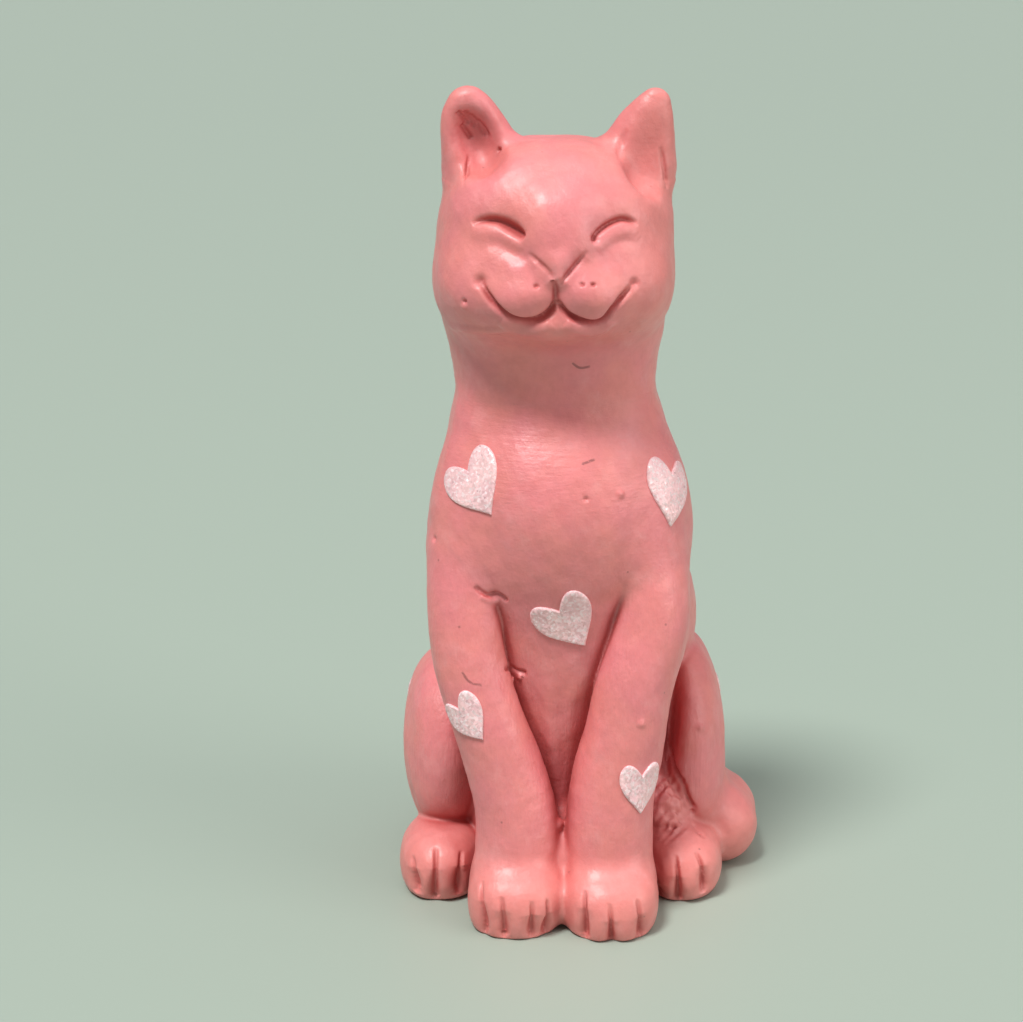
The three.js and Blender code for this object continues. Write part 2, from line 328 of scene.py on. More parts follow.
def head_and_trunk(points):
    """The upright part of the cat. The neck has no crease."""
    field = clip(core(points), points[:, 2] - 79.0, 4.0)
    for form, width in (
        (skull, 2.0),
        (cheek["left"], 3.0),
        (cheek["right"], 3.0),
        (chin, 2.0),
        (bridge, 2.5),
        (chest, 3.0),
        (shoulder["left"], 3.0),
        (shoulder["right"], 3.0),
        (flank, 3.0),
        (web, 2.0),
    ):
        field = blend(field, form(points), width)
    pads = blend(muzzle_pad["left"](points), muzzle_pad["right"](points), 0.9)
    field = blend(field, pads, 1.8)
    return blend(field, nose_tip(points), 1.2)


def groove_beside(leg, body, points):
    """A groove along the crease between a foreleg and the belly, where both are equally near."""
    height = points[:, 2]
    between = np.clip(7.6 - np.abs(points[:, 0]), 0, 1) * np.clip((39 - height) / 4, 0, 1)
    between *= np.clip((height - 10) / 3, 0, 1)
    between *= np.clip(1 - np.maximum(leg, body) / 1.5, 0, 1)
    return 0.45 * between * np.exp(-(((leg - body) / 0.7) ** 2))


def smooth_forms(points):
    """Distance from the smooth skin without its carving, and the distance from each piece alone."""
    body = head_and_trunk(points)
    grooves = np.zeros(len(points))
    low = points[:, 2] < NECK_JOINT
    own = [np.where(low, body, FAR), np.where(low, FAR, body)]
    field = body
    for forms, width in ((ear, 1.6), (foreleg, 0.9), (forepaw, 1.6), (haunch, 0.7), (hind_paw, 0.6)):
        for side in SIDES:
            distance = forms[side](points)
            if forms is hind_paw and side == "left":
                distance = blend(distance, hock(points), 1.5)
            if forms is foreleg:
                grooves += groove_beside(distance, body, points)
            own.append(distance)
            field = blend(field, distance, width)
    field = field + grooves
    own.append(tail(points))
    field = blend(field, own[-1], 2.2)
    field = clip(field, -haunch_gap(points), 1.2)
    for side in SIDES:
        field = clip(field, -ear_cup[side](points), 1.6)
    return field, own


def smooth_form(points):
    return smooth_forms(points)[0]


# ---------------------------------------------------------------- lines and dots made with a tool
def skin_normals(points, distance=smooth_form, reach=0.3):
    slope = [distance(points + step) - distance(points - step) for step in reach * np.eye(3)]
    slope = np.stack(slope, axis=1)
    return slope / np.maximum(length(slope), 1e-6)[:, None]


class Stroke:
    """A line drawn over the skin with a tool. depth > 0 carves and depth < 0 raises."""

    def __init__(self, places, width, depth, taper=0.12):
        self.places = places
        self.normals = skin_normals(places)
        self.width = width
        self.depth = depth
        self.taper = taper
        reach = 2.6 * width + 1.5 * abs(depth) + 0.3
        self.low = places.min(axis=0) - reach
        self.high = places.max(axis=0) + reach

    def __call__(self, points):
        close = np.all((points > self.low) & (points < self.high), axis=1)
        change = np.zeros(len(points))
        if close.any():
            change[close] = self.profile(points[close])
        return change

    def profile(self, points):
        nearest = np.full(len(points), FAR**2)
        place = np.zeros(len(points))
        count = len(self.places) - 1
        for index, (start, end, normal) in enumerate(zip(self.places, self.places[1:], self.normals)):
            along = end - start
            offset = points - start
            share = np.clip(offset @ along / max(along @ along, 1e-9), 0, 1)
            gap = offset - share[:, None] * along
            square = np.einsum("ij,ij->i", gap, gap)
            if self.depth > 0:
                # straight down into the skin a cut fades slowly, so that a thin one can be deep
                square -= 0.93 * np.minimum(gap @ normal, 0) ** 2
            closer = square < nearest
            nearest = np.where(closer, square, nearest)
            place = np.where(closer, (index + share) / count, place)
        fade = 1.0
        if self.taper:
            ramp = np.clip(np.minimum(place, 1 - place) / self.taper, 0, 1)
            fade = ramp * (2 - ramp)
        return self.depth * fade * np.exp(-nearest / self.width**2)


def on_front(places):
    """Puts x, z places on the smooth skin, as seen square from the front."""
    rows = np.array(places, float)
    points = np.stack([rows[:, 0], np.full(len(rows), -24.0), rows[:, 1]], axis=1)
    for _ in range(60):
        points[:, 1] += 0.7 * np.clip(smooth_form(points), -1, 1)
    return points


def line(places, width, depth, taper=0.12):
    return Stroke(smooth_path(on_front(places), 4), width, depth, taper)


def dot(x, z, width, depth):
    return Stroke(on_front([(x, z), (x + 0.05, z)]), width, depth, taper=0)


def shifted(places, dx, dz):
    return [(x + dx, z + dz) for x, z in places]


# The x, z places of the cuts and marks below were measured from the photograph.
RIGHT_EYE = [(-9.1, 76.5), (-7.9, 77.0), (-6.4, 77.0), (-4.9, 76.3), (-3.7, 75.4)]
LEFT_EYE = [(3.4, 75.2), (4.0, 76.0), (5.2, 76.8), (6.5, 77.1), (7.9, 76.5)]
RIGHT_MOUTH = [
    (-8.2, 70.9),
    (-7.3, 69.4),
    (-6.2, 68.2),
    (-4.9, 67.3),
    (-3.6, 67.0),
    (-2.1, 67.3),
    (-0.9, 68.2),
    (-0.5, 69.2),
]
LEFT_MOUTH = [
    (-0.5, 69.2),
    (0.4, 68.1),
    (1.7, 67.3),
    (3.2, 66.9),
    (4.4, 67.3),
    (5.2, 68.3),
    (6.2, 69.4),
    (7.4, 70.6),
]

eye_strokes = [
    # the slit, darkest at its inner half
    line(RIGHT_EYE, 0.3, 0.9, taper=0.35),
    line(RIGHT_EYE[1:], 0.42, 0.75, taper=0.4),
    line(RIGHT_EYE[2:], 0.55, 0.5, taper=0.45),
    line(LEFT_EYE, 0.27, 0.8, taper=0.3),
    dot(3.5, 75.3, 0.36, 0.7),
    # the socket round it, the lower lid under it, and the fold under the lid
    line(shifted(RIGHT_EYE, 0.1, -0.1), 1.2, 0.2, taper=0.4),
    line(shifted(LEFT_EYE, -0.1, -0.1), 1.1, 0.18, taper=0.4),
    line(shifted(RIGHT_EYE, -0.1, -1.3), 0.8, -0.22, taper=0.45),
    line(shifted(LEFT_EYE, 0.3, -1.2), 0.7, -0.16, taper=0.45),
    line(shifted(RIGHT_EYE[1:], 0.3, -2.4), 0.7, 0.15, taper=0.45),
    line(shifted(LEFT_EYE[1:], 0.3, -2.2), 0.6, 0.1, taper=0.45),
    # the ridge that runs from the cheek to the nose
    line([(-8.3, 74.0), (-6.2, 73.0), (-4.3, 72.3), (-3.0, 72.4)], 1.2, -0.3, taper=0.5),
]
mouth_strokes = [
    # the two edges of the nose, and the line down from it
    line([(-3.4, 74.0), (-2.4, 73.2), (-1.4, 72.3), (-0.8, 71.4)], 0.24, 0.3, taper=0.4),
    line([(2.7, 74.2), (1.7, 73.0), (0.7, 71.9), (-0.2, 70.9)], 0.25, 0.35, taper=0.4),
    line([(-2.4, 73.2), (-1.4, 72.3), (-0.8, 71.4)], 0.8, 0.25, taper=0.4),
    line([(2.4, 73.8), (1.2, 72.5), (0.2, 71.4)], 0.9, 0.3, taper=0.4),
    line([(-0.8, 71.3), (-0.55, 70.4), (-0.5, 68.9)], 0.28, 0.27, taper=0.1),
    # the smile, with a pit at each end, and the lower lip
    line(RIGHT_MOUTH, 0.32, 1.1, taper=0.2),
    line(LEFT_MOUTH, 0.3, 1.0, taper=0.2),
    line(shifted(RIGHT_MOUTH[2:-1], 0.0, -1.2), 0.6, -0.35),
    line(shifted(LEFT_MOUTH[1:-2], 0.0, -1.2), 0.6, -0.35),
    dot(-8.3, 71.0, 0.55, 0.6),
    dot(7.5, 70.8, 0.4, 0.4),
    # the jaw's edge
    line([(-11.9, 65.3), (-9.3, 65.5), (-7.0, 65.7), (-4.8, 66.1)], 0.45, -0.62, taper=0.3),
    # whisker holes, and a pit in the cheek
    dot(-2.5, 70.8, 0.2, 0.4),
    dot(2.1, 70.9, 0.18, 0.3),
    dot(3.2, 70.9, 0.2, 0.4),
    dot(-9.8, 68.8, 0.22, 0.4),
    dot(-9.9, 68.2, 0.3, -0.25),
]
ear_strokes = [
    line([(-9.4, 82.8), (-9.6, 81.3), (-9.8, 79.8)], 0.24, 0.25, taper=0.4),
    dot(-6.4, 83.4, 0.22, 0.35),
    line([(7.0, 85.6), (6.4, 84.0), (6.1, 82.4)], 0.4, 0.2, taper=0.4),
    line([(10.5, 83.8), (11.0, 81.6), (11.3, 79.2)], 0.24, 0.35, taper=0.4),
]
for top, bottom in (
    ((-10.6, 87.3), (-9.5, 86.0)),
    ((-9.9, 87.4), (-8.8, 85.6)),
    ((-9.4, 87.0), (-7.8, 84.6)),
    ((-10.2, 86.0), (-9.2, 84.4)),
    ((-8.6, 86.4), (-7.4, 84.6)),
):
    ear_strokes.append(line([top, bottom], 0.25, 0.25))

TOE_LINES = [
    [(-8.1, 5.9), (-8.3, 4.2), (-8.2, 1.8), (-8.0, 0.0)],
    [(-6.1, 5.2), (-6.0, 3.7), (-5.9, 1.3), (-5.9, 0.0)],
    [(-2.8, 4.8), (-2.7, 3.2), (-2.7, 1.4), (-2.7, 0.0)],
    [(-1.2, 4.6), (-1.0, 2.9), (-1.0, 1.2), (-1.1, 0.0)],
    [(2.9, 5.6), (2.8, 3.8), (2.8, 1.2), (2.9, 0.0)],
    [(5.5, 4.8), (5.7, 2.8), (5.8, 0.4), (5.8, -0.4)],
    [(8.6, 4.9), (9.0, 3.0), (9.2, 0.9), (9.2, 0.0)],
    [(-16.2, 5.2), (-16.1, 4.0), (-16.0, 2.2), (-15.8, 0.8)],
    [(-13.5, 6.3), (-13.5, 4.3), (-13.7, 1.2), (-13.7, 0.0)],
    [(-10.7, 5.8), (-10.7, 4.4), (-10.7, 2.4), (-10.8, 0.8)],
    [(11.4, 4.6), (11.3, 3.0), (11.3, 1.2), (11.3, 0.0)],
    [(13.4, 5.8), (13.6, 3.6), (13.7, 0.8), (13.7, 0.0)],
    [(15.6, 6.0), (16.4, 4.5), (16.8, 2.4), (16.7, 1.0)],
]
toe_strokes = [line(places, 0.24, 0.7, taper=0.45) for places in TOE_LINES]
toe_strokes += [line(places[1:], 0.55, 0.45, taper=0.45) for places in TOE_LINES]
toe_strokes += [line(places[1:], 1.1, 0.35, taper=0.45) for places in TOE_LINES]

body_strokes = [
    # folds of the belly, the tool marks above and across it, and the clay crumb at its foot
    line([(-1.2, 27.0), (-0.6, 20.2), (0.0, 14.0)], 1.0, -0.3, taper=0.5),
    line([(2.0, 27.0), (1.6, 23.5), (1.2, 19.0)], 0.8, -0.2, taper=0.5),
    line([(-9.0, 37.7), (-7.7, 36.7), (-6.4, 36.8), (-5.4, 36.0)], 0.26, 0.35),
    line([(-8.4, 36.7), (-7.2, 35.9), (-6.4, 35.9)], 0.3, -0.3),
    line([(-5.6, 28.4), (-4.9, 27.7), (-3.4, 27.3)], 0.26, 0.35),
    line([(-4.9, 27.0), (-4.0, 26.6)], 0.4, -0.3),
    dot(0.2, 10.6, 0.5, -0.6),
    # the crease behind the hock
    line([(13.1, 15.5), (14.2, 12.6), (15.6, 9.4), (16.9, 6.5)], 0.32, 0.5),
    # small bubbles and pits in the skin
    dot(8.9, 23.3, 0.35, -0.35),
    dot(6.5, 48.1, 0.35, -0.3),
    dot(2.8, 47.9, 0.25, 0.3),
    dot(-13.4, 42.0, 0.3, 0.3),
    dot(16.4, 18.7, 0.35, -0.35),
]
strokes = eye_strokes + mouth_strokes + ear_strokes + toe_strokes + body_strokes

# stray fibres that stuck to the clay: they only darken it
FIBRES = [
    [(1.3, 61.7), (2.2, 61.1), (3.4, 61.3)],
    [(2.3, 51.3), (3.2, 51.6), (3.9, 51.8)],
    [(-10.4, 28.9), (-9.5, 27.7), (-8.0, 27.3)],
]
fibres = [line(places, 0.17, 1.0) for places in FIBRES]

unevenness = Ripples(12, 5.0, 12.0, 0.1)
graininess = Ripples(14, 1.1, 2.8, 0.017)
crumpling = Ripples(24, 0.7, 3.0, 0.2)
crumpled_places = [
    Ellipsoid((13.0, -7.0, 10.0), (3.0, 4.0, 5.0)),
]


def add_up(marks, points):
    return sum((mark(points) for mark in marks), np.zeros(len(points)))


def texture(points):
    """The unevenness of hand-worked clay, rougher where a tool could hardly reach."""
    height = unevenness(points) + graininess(points)
    for place in crumpled_places:
        inside = np.clip(-0.4 * place(points), 0, 1)
        height += inside * crumpling(points)
    return height


def sculpt(points):
    """Distance from the finished skin, and the number of the piece that each point is nearest to."""
    field, own = smooth_forms(points)
    near = np.abs(field) < 2.5
    field[near] += add_up(strokes, points[near]) + texture(points[near])
    field = clip(field, -points[:, 2], 0.5)
    return field, np.argmin(np.stack(own), axis=0) + 1


def skin_distance(points):
    return sculpt(points)[0]


def in_chunks(function, points, size=40000):
    """Runs function on slices of the points on all cores. The order of the results is kept."""
    slices = [points[start : start + size] for start in range(0, len(points), size)]
    with ThreadPoolExecutor() as pool:
        results = list(pool.map(function, slices))
    if isinstance(results[0], tuple):
        return tuple(np.concatenate(parts) for parts in zip(*results))
    return np.concatenate(results)


# ---------------------------------------------------------------- from the field to meshes
GRID_LOW = np.array([-20.0, -24.0, -1.0])
GRID_HIGH = np.array([27.0, 27.0, 92.0])


def label_grid():
    """The piece number at every grid corner, 0 outside, and the distance where the skin is close."""
    step = VOXEL * COARSE
    blocks = np.ceil((GRID_HIGH - GRID_LOW) / step).astype(int)
    corner_axes = [GRID_LOW[i] + step * np.arange(blocks[i] + 1) for i in range(3)]
    corners = np.stack(np.meshgrid(*corner_axes, indexing="ij"), axis=-1).reshape(-1, 3)
    distance, piece = in_chunks(sculpt, corners)
    shape = blocks + 1
    distance = distance.reshape(shape)
    label = np.where(distance < 0, piece.reshape(shape), 0)

    same = np.ones(blocks, bool)
    closest = np.full(blocks, FAR)
    first = label[:-1, :-1, :-1]
    for i, j, k in np.ndindex(2, 2, 2):
        view = (slice(i, i + blocks[0]), slice(j, j + blocks[1]), slice(k, k + blocks[2]))
        same &= label[view] == first
        closest = np.minimum(closest, np.abs(distance[view]))
    busy = ~same | (closest < 1.3 * step)

    fine_shape = blocks * COARSE + 1
    fine_label = np.zeros(fine_shape, np.int8)
    spread = np.repeat(np.repeat(np.repeat(first, COARSE, 0), COARSE, 1), COARSE, 2)
    fine_label[:-1, :-1, :-1] = spread
    wanted = np.zeros(fine_shape, bool)
    busy_fine = np.repeat(np.repeat(np.repeat(busy, COARSE, 0), COARSE, 1), COARSE, 2)
    for i, j, k in np.ndindex(2, 2, 2):
        wanted[i : fine_shape[0] - 1 + i, j : fine_shape[1] - 1 + j, k : fine_shape[2] - 1 + k] |= busy_fine
    index = np.argwhere(wanted)
    distance, piece = in_chunks(sculpt, GRID_LOW + VOXEL * index)
    fine_distance = np.full(fine_shape, FAR, np.float32)
    fine_distance[wanted] = distance
    fine_label[wanted] = np.where(distance < 0, piece, 0)
    return fine_label, fine_distance


def fill_diagonals(label):
    """Joins corners of one piece that meet only across a grid square, so each mesh edge has two faces."""
    for _ in range(4):
        for axis in range(3):
            layers = np.moveaxis(label, axis, 0)
            a, b = layers[:, :-1, :-1], layers[:, 1:, :-1]
            c, d = layers[:, 1:, 1:], layers[:, :-1, 1:]
            for one, two, three, four in ((a, b, c, d), (b, c, d, a)):
                apart = (one > 0) & (one == three) & (one != two) & (one != four)
                two[apart] = one[apart]


def surface_nets(label, distance):
    """Vertices in the grid cells where labels meet, and a quad for each grid edge between two labels."""
    cells = np.array(label.shape) - 1
    strides = np.array([cells[1] * cells[2], cells[2], 1])
    quads, owners, crossings, cell_ids = [], [], [], []
    for axis in range(3):
        low = [slice(None)] * 3
        high = [slice(None)] * 3
        low[axis] = slice(0, -1)
        high[axis] = slice(1, None)
        a, b = label[tuple(low)], label[tuple(high)]
        edge = np.argwhere(a != b)
        first, second = (axis + 1) % 3, (axis + 2) % 3
        across = edge[:, [first, second]]
        inner = np.all((across > 0) & (across < cells[[first, second]]), axis=1)
        edge = edge[inner]
        tail_corner = tuple(edge.T)
        head_corner = edge.copy()
        head_corner[:, axis] += 1
        head_corner = tuple(head_corner.T)
        from_label, to_label = label[tail_corner], label[head_corner]
        d0, d1 = distance[tail_corner], distance[head_corner]
        outer = (from_label == 0) | (to_label == 0)
        share = np.where(outer, d0 / np.where(d0 == d1, 1, d0 - d1), 0.5)
        point = edge.astype(float)
        point[:, axis] += np.clip(share, 0, 1)
        around = []
        for step_a, step_b in ((0, 0), (1, 0), (1, 1), (0, 1)):
            cell = edge.copy()
            cell[:, first] -= step_a
            cell[:, second] -= step_b
            around.append(cell @ strides)
        around = np.stack(around, axis=1)
        for column in range(4):
            cell_ids.append(around[:, column])
            crossings.append(point)
        quads.append(around)
        owners.append(np.stack([from_label, to_label], axis=1))
    quads = np.concatenate(quads)
    owners = np.concatenate(owners)
    ids = np.concatenate(cell_ids)
    crossings = np.concatenate(crossings)
    used, inverse = np.unique(ids, return_inverse=True)
    counts = np.bincount(inverse, minlength=len(used))
    places = np.stack([np.bincount(inverse, crossings[:, i], len(used)) for i in range(3)], axis=1)
    places = GRID_LOW + VOXEL * places / counts[:, None]
    return places, np.searchsorted(used, quads), owners


def gradient(points, reach=0.06):
    """Slope of the field: its direction is the skin's normal."""
    value = [in_chunks(skin_distance, points + reach * step) for step in np.vstack([np.eye(3), -np.eye(3)])]
    return np.stack([value[i] - value[i + 3] for i in range(3)], axis=1) / (2 * reach)


def settle(places, skin):
    """Moves the skin's vertices onto the exact zero of the field."""
    for _ in range(2):
        slope = gradient(places[skin])
        distance = in_chunks(skin_distance, places[skin])
        step = distance / np.maximum((slope**2).sum(axis=1), 0.05)
        places[skin] -= np.clip(step, -0.3, 0.3)[:, None] * slope
    return places


def relax(places, quads, rounds, share=0.5):
    """Evens out the vertices: each moves part of the way to the middle of its neighbours."""
    links = np.concatenate([quads[:, [i, (i + 1) % 4]] for i in range(4)])
    for _ in range(rounds):
        total = np.zeros_like(places)
        for axis in range(3):
            total[:, axis] = np.bincount(links[:, 0], places[links[:, 1], axis], len(places))
            total[:, axis] += np.bincount(links[:, 1], places[links[:, 0], axis], len(places))
        count = np.bincount(links.ravel(), minlength=len(places))
        places = places + share * (total / count[:, None] - places)
    return places


def hollow_shade(places, normals):
    """Painted shade: 0 on open skin, and up to 1 in slits, in folds, in the ear cups and between the limbs.
    """
    # painted shade in the tool cuts: the deeper a cut, the darker it is painted
    carved = in_chunks(lambda points: add_up(strokes, points), places)
    shade = np.clip(1.1 * carved - 0.25, 0, 0.9)
    # painted shade inside the ear cups
    for side, weight in (("right", 0.3), ("left", 0.15)):
        shade += weight * np.clip(1 - np.abs(ear_cup[side](places)), 0, 1)
    # painted shade where other skin closes in over the surface, at three reaches, like ambient occlusion
    for reach, weight in ((0.8, 0.5), (2.4, 0.35), (7.0, 0.5)):
        open_space = in_chunks(skin_distance, places + reach * normals)
        shade += weight * np.clip(1 - open_space / reach - 0.1, 0, 1)
    return np.clip(shade, 0, 1)


def mesh_pieces():
    """For each piece its vertices, faces, normals and shades."""
    label, distance = label_grid()
    fill_diagonals(label)
    places, quads, owners = surface_nets(label, distance)
    skin = np.zeros(len(places), bool)
    skin[np.unique(quads[(owners == 0).any(axis=1)])] = True
    places = relax(places, quads, 1)
    places = settle(places, skin)
    slope = gradient(places[skin])
    normals = np.tile([0.0, 0.0, 1.0], (len(places), 1))
    normals[skin] = slope / np.maximum(length(slope), 1e-6)[:, None]
    # one shade is painted shade for slits, folds and gaps; the fibre shade marks real stray fibres
    shades = {"hollow": np.zeros(len(places)), "fibre": np.zeros(len(places))}
    shades["hollow"][skin] = hollow_shade(places[skin], normals[skin])
    shades["fibre"][skin] = in_chunks(lambda points: add_up(fibres, points), places[skin])
    pieces = {}
    for number, name in enumerate(PIECES, start=1):
        outward = quads[owners[:, 0] == number]
        inward = quads[owners[:, 1] == number][:, ::-1]
        faces = np.concatenate([outward, inward])
        used, inverse = np.unique(faces, return_inverse=True)
        own_shades = {key: values[used] for key, values in shades.items()}
        pieces[name] = (places[used], inverse.reshape(faces.shape), normals[used], own_shades)
    return pieces


# ---------------------------------------------------------------- hearts
# For each heart: a place near the skin, the outward direction there, its width, the drop from its notch
# to its tip, and its lean in degrees. The five on the front were measured from the photograph.
HEARTS = {
    "right_shoulder_heart": ((-8.6, -11.0, 48.1), (-0.54, -0.81, 0.23), 7.0, 5.6, -41),
    "left_shoulder_heart": ((12.1, -9.2, 46.8), (0.70, -0.67, 0.26), 6.6, 5.7, 15),
    "chest_heart": ((1.4, -12.0, 33.3), (0.03, -0.98, -0.19), 6.8, 5.2, -33),
    "right_foreleg_heart": ((-9.3, -14.5, 23.2), (-0.53, -0.85, 0.01), 4.9, 4.2, -42),
    "left_foreleg_heart": ((8.6, -15.0, 15.4), (0.60, -0.80, -0.04), 5.2, 4.3, 4),
    "upper_back_heart": ((-4.0, 12.4, 45.0), (-0.25, 0.95, 0.20), 6.6, 5.4, 17),
    "lower_back_heart": ((3.2, 17.8, 27.0), (0.10, 0.90, 0.35), 7.0, 5.6, -23),
    "right_haunch_heart": ((-16.8, 10.9, 17.3), (-0.93, 0.32, 0.21), 5.6, 4.6, 17),
    "left_haunch_heart": ((18.3, 11.4, 17.3), (0.93, 0.32, 0.21), 5.6, 4.6, -17),
}
HEART_THICKNESS = 0.34
HEART_POINTS = 144
HEART_RINGS = 18


def heart_outline(width, drop):
    """Points round a heart whose notch is 0.45 of the drop above the origin."""
    angle = 2 * math.pi * np.arange(HEART_POINTS) / HEART_POINTS
    across = np.sign(np.sin(angle)) * np.sin(angle) ** 2
    upright = 13 * np.cos(angle) - 5 * np.cos(2 * angle) - 2 * np.cos(3 * angle) - np.cos(4 * angle)
    notch_height, tip_height = 5.0, -17.0
    scale = drop / (notch_height - tip_height)
    middle = 0.55 * notch_height + 0.45 * tip_height
    return np.stack([across * width / 2, (upright - middle) * scale], axis=1)


def onto_skin(points, direction, reach=8.0):
    """Marches back against direction until the skin is met."""
    points = points + reach * direction
    for _ in range(60):
        points = points - 0.6 * np.clip(skin_distance(points), -1, 1)[:, None] * direction
    return points


def walk(start, headings, distances, steps=14):
    """Walks over the skin from one start, in all headings at once. Gives the ends with their normals."""
    points = np.repeat(start, len(headings), axis=0)
    headings = headings.copy()
    for _ in range(steps):
        points += headings * (distances / steps)[:, None]
        normals = skin_normals(points, skin_distance)
        points -= np.clip(skin_distance(points), -0.5, 0.5)[:, None] * normals
        headings -= (headings * normals).sum(axis=1)[:, None] * normals
        headings /= np.maximum(length(headings), 1e-6)[:, None]
    return points, skin_normals(points, skin_distance)


def heart_mesh(place, outward, width, drop, lean):
    """A thin heart wrapped over the skin: a rounded bead at the edge, and grainy on top."""
    start = onto_skin(np.array([place]), np.array(outward) / math.hypot(*outward))
    normal = skin_normals(start, skin_distance)[0]
    upright = np.array([0, 0, 1.0]) - normal[2] * normal
    upright /= math.sqrt(upright @ upright)
    sideways = np.cross(upright, normal)
    turn = math.radians(lean)
    up_axis = math.cos(turn) * upright + math.sin(turn) * sideways
    side_axis = math.cos(turn) * sideways - math.sin(turn) * upright

    outline = heart_outline(width, drop)
    far = length(outline)
    headings = (outline[:, :1] * side_axis + outline[:, 1:] * up_axis) / far[:, None]
    shares = np.sin(np.linspace(0, math.pi / 2, HEART_RINGS + 1))[1:]
    count = len(shares)
    points, normals = walk(start, np.tile(headings, (count, 1)), np.outer(shares, far).ravel())
    rise = np.repeat((0.82 + 0.18 * shares**5) * np.sqrt(1 - 0.93 * shares**16), HEART_POINTS)
    grain = rng.normal(0, 0.018, len(points)) * np.repeat(shares**2 * (shares < 0.97), HEART_POINTS)
    top = points + (HEART_THICKNESS * rise + grain)[:, None] * normals
    base = points[-HEART_POINTS:] - 0.12 * normals[-HEART_POINTS:]
    top_middle = start + 0.82 * HEART_THICKNESS * normal
    base_middle = start - 0.12 * normal
    vertices = np.vstack([top, base, top_middle, base_middle])

    ring = np.arange(HEART_POINTS)
    after = (ring + 1) % HEART_POINTS
    top_index, base_index = len(vertices) - 2, len(vertices) - 1
    faces = [np.stack([np.full(HEART_POINTS, top_index), after, ring], axis=1)]
    for level in range(count):
        inner, outer = level * HEART_POINTS, (level + 1) * HEART_POINTS
        faces.append(np.stack([inner + ring, inner + after, outer + after], axis=1))
        faces.append(np.stack([inner + ring, outer + after, outer + ring], axis=1))
    last = count * HEART_POINTS
    faces.append(np.stack([np.full(HEART_POINTS, base_index), last + ring, last + after], axis=1))
    return vertices, np.concatenate(faces)


# ---------------------------------------------------------------- pieces as Blender objects
# The right haunch of the CAD pieces reaches 18 mm to the right and 16.2 mm back in the cat's own frame.
HAUNCH_SIDE, HAUNCH_BACK = 18.0, 16.2
haunch_low, haunch_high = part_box("right_haunch")
CAT_TO_FRAME = np.array([haunch_low[0] / MM + HAUNCH_SIDE, haunch_high[1] / MM - HAUNCH_BACK, 0.0])


def add_mesh(name, places, faces, normals=None, shades=None):
    mesh = bpy.data.meshes.new(name)
    mesh.vertices.add(len(places))
    mesh.vertices.foreach_set("co", ((places + CAT_TO_FRAME) * MM).ravel())
    mesh.loops.add(faces.size)
    mesh.loops.foreach_set("vertex_index", faces.ravel())
    mesh.polygons.add(len(faces))
    mesh.polygons.foreach_set("loop_start", np.arange(0, faces.size, faces.shape[1]))
    mesh.update(calc_edges=True)
    mesh.polygons.foreach_set("use_smooth", np.ones(len(faces), bool))
    for key, values in (shades or {}).items():
        layer = mesh.attributes.new(key, "FLOAT", "POINT")
        layer.data.foreach_set("value", values.astype(np.float32))
    if normals is not None:
        mesh.normals_split_custom_set_from_vertices(normals)
    obj = bpy.data.objects.new(name, mesh)
    bpy.context.scene.collection.objects.link(obj)
    return obj


# ---------------------------------------------------------------- materials
class Nodes:
    """Short ways to add shader nodes to a new material."""

    def __init__(self, name):
        self.material = bpy.data.materials.new(name)
        self.material.use_nodes = True
        self.tree = self.material.node_tree
        self.shader = self.tree.nodes["Principled BSDF"]

    def add(self, kind, inputs, **settings):
        node = self.tree.nodes.new("ShaderNode" + kind)
        for key, value in settings.items():
            setattr(node, key, value)
        for socket, value in inputs.items():
            self.set(node.inputs[socket], value)
        return node

    def set(self, socket, value):
        if isinstance(value, bpy.types.NodeSocket):
            self.tree.links.new(value, socket)
        else:
            socket.default_value = value

    def shade(self, **values):
        """Sets inputs of the shader. An underscore stands for a space."""
        for key, value in values.items():
            self.set(self.shader.inputs[key.replace("_", " ")], value)

    def place(self, *scale):
        """The object's own coordinates in millimetres, times scale."""
        own = self.add("TexCoord", {}).outputs["Object"]
        factor = tuple(value / MM for value in scale)
        return self.add("VectorMath", {0: own, 1: factor}, operation="MULTIPLY").outputs[0]

    def noise(self, place, detail=3.0, roughness=0.5):
        inputs = {"Vector": place, "Scale": 1.0, "Detail": detail, "Roughness": roughness}
        return self.add("TexNoise", inputs).outputs["Fac"]

    def ranged(self, value, low, high, to_low=0.0, to_high=1.0):
        inputs = {"Value": value, "From Min": low, "From Max": high, "To Min": to_low, "To Max": to_high}
        return self.add("MapRange", inputs, interpolation_type="SMOOTHSTEP").outputs["Result"]

    def math(self, operation, first, second):
        return self.add("Math", {0: first, 1: second}, operation=operation).outputs[0]

    def mix(self, factor, first, second, blend_type="MIX"):
        node = self.add("Mix", {}, data_type="RGBA", blend_type=blend_type)
        for socket, value in ((0, factor), (6, first), (7, second)):
            self.set(node.inputs[socket], value)
        return node.outputs[2]

    def attribute(self, name):
        return self.add("Attribute", {}, attribute_name=name).outputs["Fac"]


def colour(red, green, blue):
    return (red, green, blue, 1.0)


ROSE = colour(0.83, 0.252, 0.272)
SALMON = colour(0.84, 0.282, 0.228)
# the deep red of painted shade in slits, folds and gaps
PAINTED_SHADE_RED = colour(0.46, 0.055, 0.05)
FIBRE_BROWN = colour(0.16, 0.05, 0.045)
GRIME = colour(0.5, 0.12, 0.13)
WORN_PINK = colour(0.90, 0.39, 0.39)
GLUE_PINK = colour(0.97, 0.62, 0.63)
GLUE_ROSE = colour(0.90, 0.55, 0.58)
BRIGHT_FLAKE = colour(0.98, 0.86, 0.88)
DARK_FLAKE = colour(0.50, 0.36, 0.42)
FLOOR_GREEN = colour(0.35, 0.425, 0.365)
STUDIO_WHITE = colour(0.80, 0.87, 0.88)


